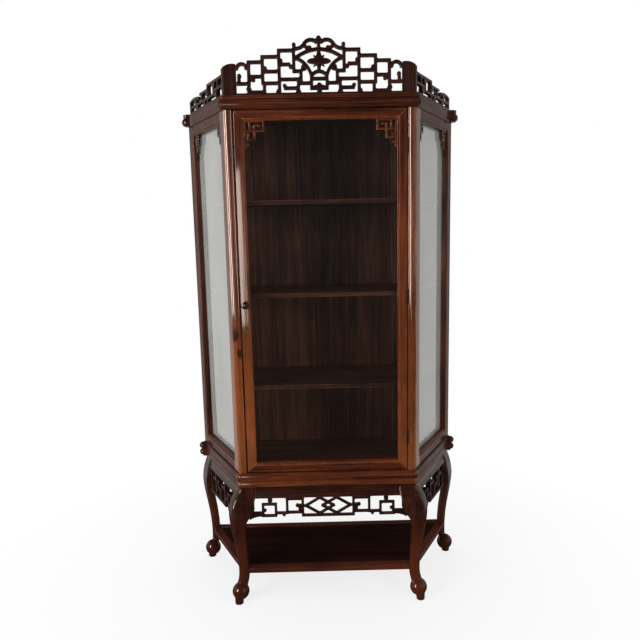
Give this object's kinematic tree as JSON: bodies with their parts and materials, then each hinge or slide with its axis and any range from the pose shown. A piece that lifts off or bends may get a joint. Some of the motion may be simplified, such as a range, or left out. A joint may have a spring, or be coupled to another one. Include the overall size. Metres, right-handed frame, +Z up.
{
  "type": "book cabinet",
  "caption": "Tall glazed display cabinet of trapezoid plan with canted glass sides, a hinged glass door, open fret galleries and aprons, and cabriole legs joined by a low shelf.",
  "frame": {"origin": "middle of the bottom of the whole part, on the floor under its bounding box", "axes": "+Z up, +X to the right and +Y to the back as seen from in front; the door faces -Y"},
  "size_m": [1.0098, 0.381, 1.9],
  "materials": {
    "frame_wood": "dark red-brown hardwood with a worn satin lacquer",
    "fret_wood": "darker carved hardwood, satin lacquer",
    "inner_wood": "dark hardwood boards, thin satin lacquer",
    "knob_wood": "turned dark hardwood, polished",
    "glass": "clear window glass",
    "hinge_metal": "darkened brass",
    "steel": "dull steel"
  },
  "bodies": {
    "case": {"apron_front": "fret_wood", "apron_left": "fret_wood", "apron_right": "fret_wood", "back_boards": "inner_wood", "case_floor": "inner_wood", "case_top": "inner_wood", "cornice_back": "frame_wood", "cornice_front": "frame_wood", "cornice_left": "frame_wood", "cornice_right": "frame_wood", "gallery_front": "fret_wood", "gallery_left": "fret_wood", "gallery_posts": "fret_wood", "gallery_right": "fret_wood", "hinge_leaves_post": "hinge_metal", "hinge_pins": "steel", "hinge_screws_post": "steel", "leg_back_left": "frame_wood", "leg_back_right": "frame_wood", "leg_front_left": "frame_wood", "leg_front_right": "frame_wood", "lower_shelf_panel": "frame_wood", "lower_shelf_rail_back": "frame_wood", "lower_shelf_rail_front": "frame_wood", "lower_shelf_rail_left": "frame_wood", "lower_shelf_rail_right": "frame_wood", "post_back_left": "frame_wood", "post_back_right": "frame_wood", "post_front_left": "frame_wood", "post_front_right": "frame_wood", "shelf_supports": "inner_wood", "shelves": "inner_wood", "side_brackets": "fret_wood", "side_glass_left": "glass", "side_glass_right": "glass", "side_glazing_beads": "frame_wood", "side_rail_bottom_left": "frame_wood", "side_rail_bottom_right": "frame_wood", "side_rail_top_left": "frame_wood", "side_rail_top_right": "frame_wood", "stand_rail_back": "frame_wood", "stand_rail_front": "frame_wood", "stand_rail_left": "frame_wood", "stand_rail_right": "frame_wood", "waist_moulding_back": "frame_wood", "waist_moulding_front": "frame_wood", "waist_moulding_left": "frame_wood", "waist_moulding_right": "frame_wood"},
    "door": {"door_brackets": "fret_wood", "door_glass": "glass", "door_glazing_beads": "frame_wood", "door_knob": "knob_wood", "door_rail_bottom": "frame_wood", "door_rail_top": "frame_wood", "door_stile_left": "frame_wood", "door_stile_right": "frame_wood", "lock_case": "steel", "hinge_leaves_door": "hinge_metal", "hinge_screws_door": "steel"},
    "bolt": {"lock_bolt": "steel"}
  },
  "joints": [
    {"name": "door_hinge", "type": "hinge", "parent": "case", "child": "door", "pos_m": [0.2765, -0.1615, 1.08], "axis": [0, 0, 1], "range_deg": [0, 170]},
    {"name": "bolt_slide", "type": "slide", "parent": "door", "child": "bolt", "axis": [-1, 0, 0], "range_m": [0, 0.009]}
  ]
}
